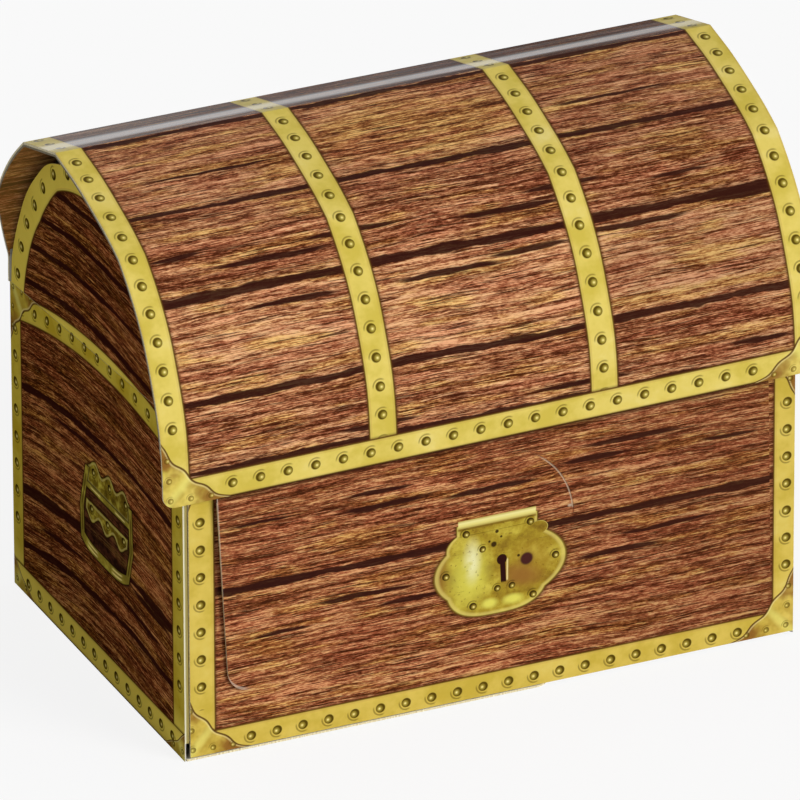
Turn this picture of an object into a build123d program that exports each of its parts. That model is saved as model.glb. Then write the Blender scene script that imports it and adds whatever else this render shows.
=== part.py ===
from build123d import *
import os
from math import asin, atan2, cos, degrees, radians, sin, tan

# A folding paperboard treasure chest. Sizes are in millimetres.
# X runs along the chest, the front is at low Y, and the chest stands on Z = 0.
# The origin is the middle of the base.

# The board, the play between pieces that move, and the overrun of cuts
board = 0.5
fit_gap = 0.3
crease_gap = 0.1
overrun = 5.0

# The box
body_length = 150.0
body_depth = 97.3
wall_height = 75.5
front_wall_height = 73.5
shoulder_height = 73.0
front_panel_setback = 1.2
glue_flap_width = 14.0
glue_flap_inset = 3.0
glue_flap_taper = 4.0

# The bottom flaps
left_flap_reach = 89.8
left_flap_corner = 4.0
right_flap_reach = 88.0
right_flap_setback = 2.0
right_flap_corner = 12.0
dust_flap_reach = 38.0
dust_flap_inset = 1.0
dust_flap_taper = 12.0

# The domed lid
lid_overhang = 5.5
lid_gap = 1.05
dome_rise = 50.5
lid_overlap = 10.8
front_skew = 0.54
lid_corner = 3.0
lid_neck_inset = 5.1
hem_width = 12.0
arch_crown_half = 5.0

# The closing flap and its lock tab, measured from the middle of the flap's crease
flap_top_half = 67.6
flap_reach = 49.7
flap_left_taper = 2.5
flap_right_flare = 0.8
flap_left_corner = 5.5
flap_right_corner = 1.5
tab_radius = 19.8
tab_offset = 0.7
tab_drop = 22.9
window_margin = 1.0
window_corner = 1.5

# Points of the lid's section. Each is a share of the reach from the middle to the
# front face or the back wall, and a share of the dome's rise above the back crease.
front_face_shares = [
    (-1.000, -0.110),
    (-0.990, 0.008),
]
front_curve_shares = [
    (-0.968, 0.135),
    (-0.926, 0.259),
    (-0.8705, 0.382),
    (-0.811, 0.495),
    (-0.729, 0.606),
    (-0.6375, 0.701),
]
kink_share = (-0.538, 0.788)
crown_curve_shares = [
    (-0.410, 0.8455),
    (-0.285, 0.889),
    (-0.165, 0.927),
    (-0.034, 0.962),
    (0.0946, 0.986),
]
crest_share = (0.1706, 1.0)
ridge_share = (0.5447, 0.897)
back_curve_shares = [
    (0.668, 0.788),
    (0.791, 0.6475),
    (0.890, 0.485),
    (0.958, 0.307),
    (0.993, 0.168),
    (1.000, 0.060),
]
neck_top_share = 0.13
flare_top_share = 0.495
hem_front_share = 0.03
hem_back_share = 0.17

# Heights and half widths that follow from the sizes
half_length = body_length / 2
half_depth = body_depth / 2
lid_half = half_length + lid_overhang
left_layer = 0
right_layer = left_layer + board
wall_foot = right_layer + board
floor_top = wall_foot + board
hinge_height = wall_foot + wall_height
front_reach = half_depth + lid_gap + board
lid_edge_height = hinge_height - lid_overlap
skew_drop = lid_half * tan(radians(front_skew))


def place(share):
    """Turn a pair of shares into a point of the lid's section."""
    reach = front_reach if share[0] < 0 else half_depth
    return (share[0] * reach, hinge_height + share[1] * dome_rise)


def inset(chain, distance):
    """Move a chain of section points towards the inside of the lid."""
    moved = []
    for index, (y, z) in enumerate(chain):
        before = chain[max(index - 1, 0)]
        after = chain[min(index + 1, len(chain) - 1)]
        directions = [
            atan2(end[1] - start[1], end[0] - start[0])
            for start, end in ((before, (y, z)), ((y, z), after))
            if start != end
        ]
        half_turn = (directions[-1] - directions[0]) / 2
        heading = directions[0] + half_turn
        reach = distance / cos(half_turn)
        moved.append((y + reach * sin(heading), z - reach * cos(heading)))
    return moved


def draw_runs(chain, stops):
    """Draw a chain, with a curve or a line from each stop to the next."""
    for first, last in zip(stops, stops[1:]):
        if last - first == 1:
            Line(chain[first], chain[last])
        else:
            Spline(*chain[first:last + 1])


def draw_section(outer, inner, stops):
    """Draw the closed section of a bent sheet between its two faces."""
    draw_runs(outer, stops)
    draw_runs(inner, stops)
    Line(outer[stops[0]], inner[stops[0]])
    Line(outer[stops[-1]], inner[stops[-1]])


# The lid's section: up the front, over the crest and the flat ridge, down to the back crease
lid_foot = (-front_reach, lid_edge_height - skew_drop - overrun)
lid_chain = [lid_foot]
lid_chain += [place(share) for share in front_face_shares]
arch_foot = len(lid_chain)
lid_chain += [place(share) for share in front_curve_shares]
kink = len(lid_chain)
lid_chain.append(place(kink_share))
lid_chain += [place(share) for share in crown_curve_shares]
crest = len(lid_chain)
lid_chain.append(place(crest_share))
ridge = len(lid_chain)
lid_chain.append(place(ridge_share))
lid_chain += [place(share) for share in back_curve_shares]
lid_chain.append((half_depth, hinge_height + crease_gap))
back_end = len(lid_chain) - 1
front_stops = [0, 1, kink, crest]
top_stops = [crest, ridge]
back_stops = [ridge, back_end - 1, back_end]
cover_inside = inset(lid_chain, board)
hem_inside = inset(lid_chain, 2 * board)

# The end walls' arches follow the lid's front inside the hems, alike to front and back
arch_chain = inset(lid_chain, 2 * board + fit_gap)[arch_foot:]
arch_front = [point for point in arch_chain if point[0] < -arch_crown_half]
arch_back = [(-y, z) for y, z in reversed(arch_front)]
crease_front = arch_front[0]
crease_back = (half_depth - board - fit_gap, hinge_height)

# The window in the front wall lies behind the lock tab
window_x = tab_drop * sin(radians(front_skew)) - tab_offset * cos(radians(front_skew))
window_half = tab_radius + window_margin
window_foot = lid_edge_height - tab_drop - window_margin

# The lid narrows over its back panel to the foot at the crease
neck_half = lid_half - lid_neck_inset
neck_top = hinge_height + neck_top_share * dome_rise
flare_top = hinge_height + flare_top_share * dome_rise
dome_top = hinge_height + dome_rise + overrun


def end_wall(side, foot, front_y):
    """One end wall, with the crease of its arch sloping up to the front."""
    face = side * half_length
    inner = face - side * board
    with BuildPart() as wall:
        with BuildSketch(Plane.YZ.offset(face)):
            with BuildLine():
                Polyline(
                    (front_y, foot),
                    (half_depth, foot),
                    (half_depth, hinge_height),
                    crease_back,
                    crease_front,
                    (front_y, wall_foot + shoulder_height),
                    close=True,
                )
            make_face()
        extrude(amount=-side * board)
        with BuildSketch(Plane.XY):
            with BuildLine():
                Polyline(
                    (face, half_depth),
                    (face, front_y),
                    (inner, front_y + board),
                    (inner, half_depth - board),
                    close=True,
                )
            make_face()
        extrude(amount=hinge_height + dome_rise, mode=Mode.INTERSECT)
    return wall.part


def arch(side):
    """One arch, which stands on its end wall and folds inwards about the sloping crease."""
    face = side * half_length
    rise = atan2(crease_front[1] - crease_back[1], crease_back[0] - crease_front[0])
    lift = crease_gap / cos(rise)
    with BuildPart() as flap:
        with BuildSketch(Plane.YZ.offset(face)):
            with BuildLine():
                Spline(*arch_front, *arch_back)
                Line(arch_back[-1], crease_back)
                Line(crease_back, crease_front)
            make_face()
            with BuildLine():
                Polyline(
                    (crease_front[0] - overrun, crease_front[1] + lift + overrun * tan(rise)),
                    (crease_back[0] + overrun, crease_back[1] + lift - overrun * tan(rise)),
                    (crease_back[0] + overrun, crease_back[1] - overrun),
                    (crease_front[0] - overrun, crease_back[1] - overrun),
                    close=True,
                )
            make_face(mode=Mode.SUBTRACT)
        extrude(amount=-side * board)
    return flap.part


def dust_flap(side):
    """A bottom flap that folds in from the front or the back wall."""
    crease = side * (half_depth - board)
    free_edge = crease - side * dust_flap_reach
    crease_half = half_length - board - dust_flap_inset
    free_half = crease_half - dust_flap_taper
    with BuildPart() as flap:
        with BuildSketch(Plane.XY.offset(wall_foot)):
            with BuildLine():
                Polyline(
                    (-crease_half, crease),
                    (crease_half, crease),
                    (free_half, free_edge),
                    (-free_half, free_edge),
                    close=True,
                )
            make_face()
        extrude(amount=board)
    return flap.part


def lid_hem(side):
    """The margin of the lid that is folded under it at one end."""
    outer_x = side * lid_half
    inner_x = outer_x - side * hem_width
    neck_x = side * neck_half
    with BuildPart() as hem:
        with BuildSketch(Plane.YZ.offset(outer_x)):
            for stops in (front_stops, top_stops, back_stops):
                with BuildLine():
                    draw_section(cover_inside, hem_inside, stops)
                make_face()
        extrude(amount=-side * hem_width)
        with BuildSketch(Plane.XZ) as front_outline:
            with BuildLine():
                Polyline(
                    (outer_x, hinge_height + hem_front_share * dome_rise),
                    (inner_x, hinge_height + hem_front_share * dome_rise),
                    (inner_x, dome_top),
                    (outer_x, dome_top),
                    close=True,
                )
            make_face()
        extrude(front_outline.sketch, amount=2 * front_reach, both=True, mode=Mode.INTERSECT)
        with BuildSketch(Plane.XZ.offset(-place(crest_share)[0])) as back_outline:
            with BuildLine():
                Polyline(
                    (outer_x + side * overrun, hinge_height - lid_overlap),
                    (inner_x - side * overrun, hinge_height - lid_overlap),
                    (inner_x - side * overrun, hinge_height + hem_back_share * dome_rise),
                    (neck_x, hinge_height + hem_back_share * dome_rise),
                    (neck_x, neck_top),
                    (outer_x, flare_top),
                    (outer_x + side * overrun, flare_top),
                    close=True,
                )
            make_face()
        extrude(back_outline.sketch, amount=-(half_depth + overrun), mode=Mode.SUBTRACT)
    return hem.part


# Walls of the box, mitred at the corner creases
with BuildPart() as front_wall:
    with BuildSketch(Plane.XY.offset(wall_foot)):
        with BuildLine():
            Polyline(
                (-half_length + front_panel_setback, -half_depth),
                (half_length, -half_depth),
                (half_length - board, -half_depth + board),
                (-half_length + front_panel_setback, -half_depth + board),
                close=True,
            )
        make_face()
    extrude(amount=front_wall_height)
    with BuildSketch(Plane.XZ.offset(half_depth + overrun)) as window_outline:
        with BuildLine():
            Polyline(
                (window_x - window_half, window_foot),
                (window_x + window_half, window_foot),
                (window_x + window_half, window_foot + tab_radius + 2 * window_margin),
                (window_x - window_half, window_foot + tab_radius + 2 * window_margin),
                close=True,
            )
        make_face()
        fillet(window_outline.vertices(), window_corner)
    extrude(amount=-(overrun + 2 * board), mode=Mode.SUBTRACT)

with BuildPart() as back_wall:
    with BuildSketch(Plane.XY.offset(wall_foot)):
        with BuildLine():
            Polyline(
                (-half_length, half_depth),
                (half_length, half_depth),
                (half_length - board, half_depth - board),
                (-half_length + board, half_depth - board),
                close=True,
            )
        make_face()
    extrude(amount=wall_height)

left_wall = end_wall(-1, left_layer, -half_depth + board)
right_wall = end_wall(1, right_layer, -half_depth)

# The glue flap goes on from the left wall behind the front wall
with BuildPart() as corner_glue_flap:
    with BuildSketch(Plane.XY.offset(floor_top + glue_flap_inset)):
        with BuildLine():
            Polyline(
                (-half_length, -half_depth + board),
                (-half_length + glue_flap_width, -half_depth + board),
                (-half_length + glue_flap_width, -half_depth + 2 * board),
                (-half_length + board, -half_depth + 2 * board),
                close=True,
            )
        make_face()
    extrude(amount=front_wall_height - 2 * glue_flap_inset)
    free_edges = corner_glue_flap.edges().filter_by(Axis.Y).group_by(Axis.X)[-1]
    chamfer(free_edges, length=glue_flap_taper)

# Bottom flaps: the left one lies lowest, the right one on it, the dust flaps on top
with BuildPart() as bottom_left_flap:
    with BuildSketch(Plane.XY.offset(left_layer)) as left_flap_outline:
        with BuildLine():
            Polyline(
                (-half_length + board, -half_depth + board),
                (-half_length + board + left_flap_reach, -half_depth + board),
                (-half_length + board + left_flap_reach, half_depth - board),
                (-half_length + board, half_depth - board),
                close=True,
            )
        make_face()
        fillet(left_flap_outline.vertices().group_by(Axis.X)[-1], left_flap_corner)
    extrude(amount=board)

with BuildPart() as bottom_right_flap:
    with BuildSketch(Plane.XY.offset(right_layer)) as right_flap_outline:
        with BuildLine():
            Polyline(
                (half_length - board, -half_depth + board + right_flap_setback),
                (half_length - board - right_flap_reach, -half_depth + board + right_flap_setback),
                (half_length - board - right_flap_reach, half_depth - board - right_flap_setback),
                (half_length - board, half_depth - board - right_flap_setback),
                close=True,
            )
        make_face()
        fillet(right_flap_outline.vertices().group_by(Axis.X)[0], right_flap_corner)
    extrude(amount=board)

bottom_front_flap = dust_flap(-1)
bottom_back_flap = dust_flap(1)
left_arch = arch(-1)
right_arch = arch(1)

# The lid's three panels, one sheet creased at the crest and at the ridge
with BuildPart() as lid_front_panel:
    with BuildSketch(Plane.YZ.offset(-lid_half)):
        with BuildLine():
            draw_section(lid_chain, cover_inside, front_stops)
        make_face()
    extrude(amount=2 * lid_half)
    with BuildSketch(Plane.XZ) as lid_outline:
        with BuildLine():
            Polyline(
                (-lid_half, lid_edge_height - skew_drop),
                (lid_half, lid_edge_height + skew_drop),
                (lid_half, dome_top),
                (-lid_half, dome_top),
                close=True,
            )
        make_face()
        fillet(lid_outline.vertices().sort_by(Axis.Y)[:2], lid_corner)
    extrude(amount=2 * front_reach, both=True, mode=Mode.INTERSECT)

with BuildPart() as lid_top_panel:
    with BuildSketch(Plane.YZ.offset(-lid_half)):
        with BuildLine():
            draw_section(lid_chain, cover_inside, top_stops)
        make_face()
    extrude(amount=2 * lid_half)

with BuildPart() as lid_back_panel:
    with BuildSketch(Plane.YZ.offset(-lid_half)):
        with BuildLine():
            draw_section(lid_chain, cover_inside, back_stops)
        make_face()
    extrude(amount=2 * lid_half)
    with BuildSketch(Plane.XZ):
        with BuildLine():
            Polyline(
                (-neck_half, hinge_height),
                (neck_half, hinge_height),
                (neck_half, neck_top),
                (lid_half, flare_top),
                (lid_half, dome_top),
                (-lid_half, dome_top),
                (-lid_half, flare_top),
                (-neck_half, neck_top),
                close=True,
            )
        make_face()
    extrude(amount=2 * front_reach, both=True, mode=Mode.INTERSECT)

lid_left_hem = lid_hem(-1)
lid_right_hem = lid_hem(1)

# The closing flap hangs from the lid's skewed front edge and leans back to the front wall
flap_lean = degrees(asin((lid_gap - fit_gap) / flap_reach))
crease_plane = Plane(
    origin=(0, -front_reach, lid_edge_height),
    x_dir=(cos(radians(front_skew)), 0, sin(radians(front_skew))),
    z_dir=(0, -1, 0),
)
flap_plane = crease_plane.rotated((flap_lean, 0, 0))

with BuildPart() as closing_flap:
    with BuildSketch(flap_plane) as flap_outline:
        with BuildLine():
            left_side = Line(
                (-flap_top_half, -crease_gap),
                (-flap_top_half + flap_left_taper, -flap_reach),
            )
            right_side = Line(
                (flap_top_half, -crease_gap),
                (flap_top_half + flap_right_flare, -flap_reach),
            )
            Line(left_side @ 0, right_side @ 0)
            Line(left_side @ 1, right_side @ 1)
        make_face()
        low_corners = flap_outline.vertices().group_by(Axis.Y)[0].sort_by(Axis.X)
        fillet(low_corners[0], flap_left_corner)
        fillet(flap_outline.vertices().sort_by(Axis.X)[-1], flap_right_corner)
        with BuildLine():
            CenterArc((-tab_offset, -tab_drop), tab_radius + fit_gap, 0, 180)
            Line(
                (-tab_offset - tab_radius - fit_gap, -tab_drop),
                (-tab_offset + tab_radius + fit_gap, -tab_drop),
            )
        make_face(mode=Mode.SUBTRACT)
    extrude(amount=-board)

with BuildPart() as lock_tab:
    with BuildSketch(flap_plane):
        with BuildLine():
            CenterArc((-tab_offset, -tab_drop), tab_radius, 0, 180)
            Line((-tab_offset - tab_radius, -tab_drop), (-tab_offset + tab_radius, -tab_drop))
        make_face()
        with BuildLine():
            Polyline(
                (-tab_offset - tab_radius - overrun, -tab_drop + crease_gap),
                (-tab_offset + tab_radius + overrun, -tab_drop + crease_gap),
                (-tab_offset + tab_radius + overrun, -tab_drop - overrun),
                (-tab_offset - tab_radius - overrun, -tab_drop - overrun),
                close=True,
            )
        make_face(mode=Mode.SUBTRACT)
    extrude(amount=-board)

pieces = {
    "front_wall": front_wall.part,
    "back_wall": back_wall.part,
    "left_wall": left_wall,
    "right_wall": right_wall,
    "corner_glue_flap": corner_glue_flap.part,
    "bottom_front_flap": bottom_front_flap,
    "bottom_back_flap": bottom_back_flap,
    "bottom_left_flap": bottom_left_flap.part,
    "bottom_right_flap": bottom_right_flap.part,
    "left_arch": left_arch,
    "right_arch": right_arch,
    "lid_back_panel": lid_back_panel.part,
    "lid_top_panel": lid_top_panel.part,
    "lid_front_panel": lid_front_panel.part,
    "lid_left_hem": lid_left_hem,
    "lid_right_hem": lid_right_hem,
    "closing_flap": closing_flap.part,
    "lock_tab": lock_tab.part,
}
os.makedirs("parts", exist_ok=True)
for name, piece in pieces.items():
    piece.label = name
    export_step(piece, f"parts/{name}.step")

# The places and directions of the creases that turn
tab_crease = flap_plane.offset(-board).from_local_coords((-tab_offset, -tab_drop, 0))
print("lid crease", (0, half_depth, hinge_height))
print("closing flap crease", crease_plane.origin, crease_plane.x_dir)
print("lock tab crease", tab_crease, flap_plane.x_dir)
print("arch crease", crease_back, crease_front)
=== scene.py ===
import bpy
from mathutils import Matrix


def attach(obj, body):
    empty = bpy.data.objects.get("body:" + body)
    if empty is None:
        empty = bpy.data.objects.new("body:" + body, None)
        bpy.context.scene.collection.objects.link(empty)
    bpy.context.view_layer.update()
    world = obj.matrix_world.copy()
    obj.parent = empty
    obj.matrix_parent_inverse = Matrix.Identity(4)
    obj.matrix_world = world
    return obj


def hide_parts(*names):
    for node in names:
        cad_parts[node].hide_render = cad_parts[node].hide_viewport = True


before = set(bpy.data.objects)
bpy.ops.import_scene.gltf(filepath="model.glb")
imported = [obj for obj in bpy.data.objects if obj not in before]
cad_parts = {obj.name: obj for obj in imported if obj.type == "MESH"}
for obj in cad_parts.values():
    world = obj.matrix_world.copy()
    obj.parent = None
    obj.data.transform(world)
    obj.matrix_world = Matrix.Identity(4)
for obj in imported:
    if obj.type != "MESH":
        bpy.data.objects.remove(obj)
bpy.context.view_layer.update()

import math

import bpy
import numpy as np
from mathutils import Matrix, Vector

MM = 0.001

# Sizes of the box in millimetres, as in the solids
BOARD = 0.5
HALF_LENGTH = 75.0
HALF_DEPTH = 48.65
LID_HALF = 80.5
FRONT_REACH = 50.2
HINGE_HEIGHT = 76.5
DOME_RISE = 50.5
LID_EDGE_HEIGHT = 65.7
LID_EDGE_SLOPE = math.tan(math.radians(0.54))
LID_CORNER = 3.0
NECK_HALF = 75.4
NECK_TOP = HINGE_HEIGHT + 0.13 * DOME_RISE
FLARE_TOP = HINGE_HEIGHT + 0.495 * DOME_RISE
TAB_RADIUS = 19.8
FLAP_HALF = 67.6
FLAP_FOOT = 16.0
FLAP_TAPER = 2.5 / 49.7
WALL_FOOT = 1.0
WALL_TOP_SLOPE = 0.0683
TAB_MIDDLE = (-0.4841, -49.3544, 42.8046)
TAB_SLIT = 0.2
CREASE_GAP = 0.1
HEM_MIDDLE = 84.0
HEM_RADIUS = 42.0
SHARP_TURN = math.radians(35)

# The print in millimetres: a nail's radius, how far out the straps are, and their half widths
RIVET = 1.12
INNER_STRAP = 27.1
LID_END_STRAP = 77.4
WALL_END_STRAP = 72.05
LID_STRAP_HALF = 3.3
WALL_STRAP_HALF = 3.25
FOOT_STRAP_HALF = 3.15
ALL_HEIGHTS = 200.0

# Rows of nails: where one nail is, and the pitch
LID_NAILS = (4.5, 6.555)
LID_NAIL_LEAN = 0.0065
LID_FOOT_NAILS = (3.35, 6.705)
WALL_NAILS = (59.2, 6.83)
WALL_FOOT_NAILS = (-59.0, 6.32)
END_NAILS = (59.1, 6.83)
END_FOOT_NAILS = (-3.5, 6.28)
END_TOP_NAILS = (-1.0, 7.1)
BRACKET_NAILS = (1.8, 4.9)
PULL_NAILS = (-0.5, 9.0)
ARCH_NAILS_DEGREES = (9.0, 10.46)
ARCH_MM_PER_DEGREE = 0.78


def paint(red, green, blue):
    """A colour as seen on screen, in the renderer's own scale."""
    def channel(value):
        share = value / 255
        return share / 12.92 if share <= 0.04045 else ((share + 0.055) / 1.055) ** 2.4
    return (channel(red), channel(green), channel(blue), 1.0)


def placed(name, data):
    """An object of a mesh, lamp or camera, put in the scene."""
    item = bpy.data.objects.new(name, data)
    bpy.context.scene.collection.objects.link(item)
    return item


def operator(kind, reflected=False):
    """One operator of a varying number, which adds one node."""
    def method(self, other):
        terms = (other, self) if reflected else (self, other)
        return self.finish.maths(kind, *terms)
    return method


class Value:
    """A number that varies over a finish, with the usual arithmetic."""

    def __init__(self, finish, socket):
        self.finish = finish
        self.socket = socket

    __add__, __radd__ = operator("ADD"), operator("ADD", True)
    __sub__, __rsub__ = operator("SUBTRACT"), operator("SUBTRACT", True)
    __mul__, __rmul__ = operator("MULTIPLY"), operator("MULTIPLY", True)
    __truediv__, __rtruediv__ = operator("DIVIDE"), operator("DIVIDE", True)
    __pow__, __rpow__ = operator("POWER"), operator("POWER", True)

    def __neg__(self):
        return self * -1.0

    def __abs__(self):
        return self.finish.maths("ABSOLUTE", self)


class Finish:
    """One procedural material, or the studio's light, while it is being made."""

    def __init__(self, name, of_world=False):
        self.owner = (bpy.data.worlds if of_world else bpy.data.materials).new(name)
        self.owner.use_nodes = True
        self.tree = self.owner.node_tree
        self.tree.nodes.clear()
        self.output = self.node("ShaderNodeOutputWorld" if of_world else "ShaderNodeOutputMaterial")

    def show(self, shader):
        """Ends the finish in its shader."""
        self.feed(self.output.inputs["Surface"], shader.outputs[0])
        return self.owner

    def node(self, kind, settings=None, sockets=None):
        """The one way to make a node: its kind, its settings, then its sockets' values or links."""
        made = self.tree.nodes.new(kind)
        for key, value in (settings or {}).items():
            if key == "stops":
                self.set_stops(made.color_ramp, value)
            else:
                setattr(made, key, value)
        for key, value in (sockets or {}).items():
            self.feed(made.inputs[key], value)
        return made

    def set_stops(self, ramp, stops):
        while len(ramp.elements) < len(stops):
            ramp.elements.new(1.0)
        for element, (place, colour) in zip(ramp.elements, stops):
            element.position = place
            element.color = colour

    def feed(self, entry, value):
        if isinstance(value, Value):
            value = value.socket
        if isinstance(value, bpy.types.NodeSocket):
            self.tree.links.new(value, entry)
        else:
            entry.default_value = value

    def maths(self, operation, *terms):
        made = self.node("ShaderNodeMath", {"operation": operation}, dict(enumerate(terms)))
        return Value(self, made.outputs[0])

    def least(self, first, second):
        return self.maths("MINIMUM", first, second)

    def most(self, first, second):
        return self.maths("MAXIMUM", first, second)

    def sign(self, value):
        return self.maths("SIGN", value)

    def ease(self, value, low, high, top=1.0):
        """0 at low, top at high, smooth between them; low may be the larger."""
        made = self.node(
            "ShaderNodeMapRange",
            {"interpolation_type": "SMOOTHSTEP"},
            {"Value": value, "From Min": low, "From Max": high, "To Max": top},
        )
        return Value(self, made.outputs["Result"])

    def join(self, x, y):
        return self.node("ShaderNodeCombineXYZ", None, {"X": x, "Y": y}).outputs[0]

    def stretch(self, spot, scale, move):
        terms = {0: spot, 1: scale, 2: move}
        return self.node("ShaderNodeVectorMath", {"operation": "MULTIPLY_ADD"}, terms).outputs["Vector"]

    def noise(self, spot, across, up, seed, detail=2.0, rough=0.5):
        made = self.node(
            "ShaderNodeTexNoise",
            {"noise_dimensions": "3D"},
            {
                "Vector": self.stretch(spot, (across, up, 0.0), (0.0, 0.0, seed)),
                "Scale": 1.0,
                "Detail": detail,
                "Roughness": rough,
            },
        )
        return Value(self, made.outputs[0])

    def far(self, spot, middle, reach):
        """How far a point is from a middle, as a share of the reach each way."""
        scale = (1 / reach[0], 1 / reach[1], 0.0)
        moved = self.stretch(spot, scale, (-middle[0] / reach[0], -middle[1] / reach[1], 0.0))
        made = self.node("ShaderNodeVectorMath", {"operation": "LENGTH"}, {0: moved})
        return Value(self, made.outputs["Value"])

    def towards(self, spot, way):
        """How far a point lies in one direction."""
        terms = {0: spot, 1: (way[0], way[1], 0.0)}
        made = self.node("ShaderNodeVectorMath", {"operation": "DOT_PRODUCT"}, terms)
        return Value(self, made.outputs["Value"])

    def mix(self, mask, below, above):
        made = self.node("ShaderNodeMix", {"data_type": "RGBA"}, {0: mask, 6: below, 7: above})
        return made.outputs[2]

    def lay(self, colour, tint, value, low, high, top=1.0):
        """The tint over the colour: none where the value is low, and its share top where it is high."""
        return self.mix(self.ease(value, low, high, top), colour, tint)

    def ramp(self, value, stops):
        return self.node("ShaderNodeValToRGB", {"stops": stops}, {"Fac": value}).outputs["Color"]

    def level_of(self, value, stops, first, last):
        """A number read off a list of levels and numbers."""
        marks = [((edge - first) / (last - first), (shift, shift, shift, 1.0)) for edge, shift in stops]
        grey = self.ramp((value - first) / (last - first), marks)
        return Value(self, self.node("ShaderNodeRGBToBW", None, {"Color": grey}).outputs[0])

    def place(self):
        """Where a point is on the box at rest, in millimetres."""
        coords = self.node("ShaderNodeTexCoord")
        parts = self.node("ShaderNodeSeparateXYZ", None, {"Vector": coords.outputs["Object"]})
        return [Value(self, part) * 1000.0 for part in parts.outputs]

    def facing(self):
        """The way the surface looks at rest."""
        coords = self.node("ShaderNodeTexCoord")
        parts = self.node("ShaderNodeSeparateXYZ", None, {"Vector": coords.outputs["Normal"]})
        return [Value(self, part) for part in parts.outputs]

    def laid_out(self):
        """Where a point is on the flat sheet: across, and down from the crest crease."""
        coords = self.node("ShaderNodeUVMap", {"uv_map": "sheet"})
        parts = self.node("ShaderNodeSeparateXYZ", None, {"Vector": coords.outputs["UV"]})
        return Value(self, parts.outputs["X"]), Value(self, parts.outputs["Y"])

    def backdrop(self):
        """1 for rays that see the background: straight, mirrored or through something clear."""
        path = self.node("ShaderNodeLightPath")
        kinds = ("Is Camera Ray", "Is Glossy Ray", "Is Transmission Ray")
        straight, mirrored, passed = (Value(self, path.outputs[kind]) for kind in kinds)
        return self.most(self.most(straight, mirrored), passed)


WHITE = (1.0, 1.0, 1.0, 1.0)
INSIDE_BOARD = (214, 210, 200)
DUST_FLAP_BOARD = (222, 218, 208)
SHADE_BROWN = paint(70, 34, 16)
CRACK_BROWN = paint(56, 20, 8)
GAP_BROWN = paint(48, 18, 12)
OCHRE_TINGE = (1.08, 1.26, 0.62)
RUSSET_TINGE = (1.0, 0.76, 0.84)


def tinged(tints, red, green, blue):
    """The same stops, each colour turned by a share in red, green and blue."""
    return [(at, (tint[0] * red, tint[1] * green, tint[2] * blue, 1.0)) for at, tint in tints]


def wood(finish, along, across, seed, planks, long_gaps, short_gaps, tints, golden=0.0):
    """Weathered planks with cracked, crinkled grain, tinted plank by plank, and their dark gaps.

    Planks are levels with a lightness, long gaps are levels with a width, and short
    gaps are a middle along, a level, a half length and a half width. Golden is how far
    the grain turns to ochre all over.
    """
    first, last = planks[0][0], planks[-1][0]
    darkest, palest = tints[0][1], tints[-1][1]
    flat = finish.join(along, across)
    sway = finish.noise(flat, 0.02, 0.04, seed, 1.0) - 0.5
    crinkle = finish.noise(flat, 0.11, 0.3, seed + 0.7, 3.0) - 0.5
    swayed = across + sway * 2.6
    grain = finish.join(along, swayed + crinkle * 0.6)
    broad = finish.noise(grain, 0.02, 0.2, seed + 1.3)
    streak = finish.noise(grain, 0.045, 0.95, seed + 2.7, 6.0, 0.72)
    fibre = finish.noise(grain, 0.26, 3.9, seed + 4.1, 3.0, 0.7)
    fleck = finish.noise(grain, 1.1, 2.9, seed + 9.3, 2.0, 0.6)
    tone = broad * 0.5 + streak * 2.9 + fibre * 3.1 + fleck * 1.2 - 3.84
    tone = tone + finish.level_of(swayed, planks, first, last)
    colour = finish.ramp(tone, tints)
    # Ochre and russet patches, fine cracks, raised fibres, and veins along the rings
    drawn = finish.noise(grain, 0.045, 0.28, seed + 8.0, 3.0)
    ochre = finish.most(finish.ease(drawn, 0.5, 0.62, 0.5), golden)
    colour = finish.mix(ochre, colour, finish.ramp(tone, tinged(tints, *OCHRE_TINGE)))
    russet = finish.ease(drawn, 0.5, 0.38, 0.5)
    colour = finish.mix(russet, colour, finish.ramp(tone, tinged(tints, *RUSSET_TINGE)))
    split = finish.noise(grain, 0.07, 2.3, seed + 6.2, 4.0, 0.62)
    colour = finish.lay(colour, CRACK_BROWN, split, 0.55, 0.62, 0.9)
    ridge = finish.noise(grain, 0.11, 2.6, seed + 11.4, 4.0, 0.65)
    colour = finish.lay(colour, palest, ridge, 0.6, 0.7, 0.6)
    rings = finish.noise(grain, 0.016, 0.34, seed + 12.8, 3.0, 0.6) * 9.0
    vein = finish.ease(abs(finish.maths("FRACT", rings) - 0.5), 0.2, 0.04)
    colour = finish.mix(vein * finish.ease(streak, 0.62, 0.42, 0.62), colour, darkest)
    # The gaps between planks, and a pale lip beside the long ones
    thick = finish.noise(grain, 0.06, 0.05, seed + 5.0, 4.0, 0.65)
    drift = across + sway * 1.3 + crinkle * 1.4
    marks = [(first, 0.0)]
    for middle, half in sorted(long_gaps):
        rim, core = half + 0.9, half * 0.25
        marks += [(middle - rim, 0.0), (middle - core, 1.0), (middle + core, 1.0), (middle + rim, 0.0)]
    marks.append((last, 0.0))
    depth = finish.level_of(drift, marks, first, last)
    gap = finish.ease(depth + (thick - 0.5) * 1.7, 0.36, 0.62, 0.96)
    lens = finish.join(along, drift)
    for middle, level, half_long, half in short_gaps:
        narrow = finish.far(lens, (middle, level), (half_long, half + 0.3))
        gap = finish.most(gap, finish.ease(narrow, 1.0, 0.62, 0.96))
    lip = finish.ease(finish.level_of(drift + 1.5, marks, first, last), 0.35, 0.95, 0.9)
    colour = finish.mix(lip * finish.ease(fibre, 0.46, 0.66, 0.7), colour, palest)
    return finish.mix(gap, colour, GAP_BROWN)


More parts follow.
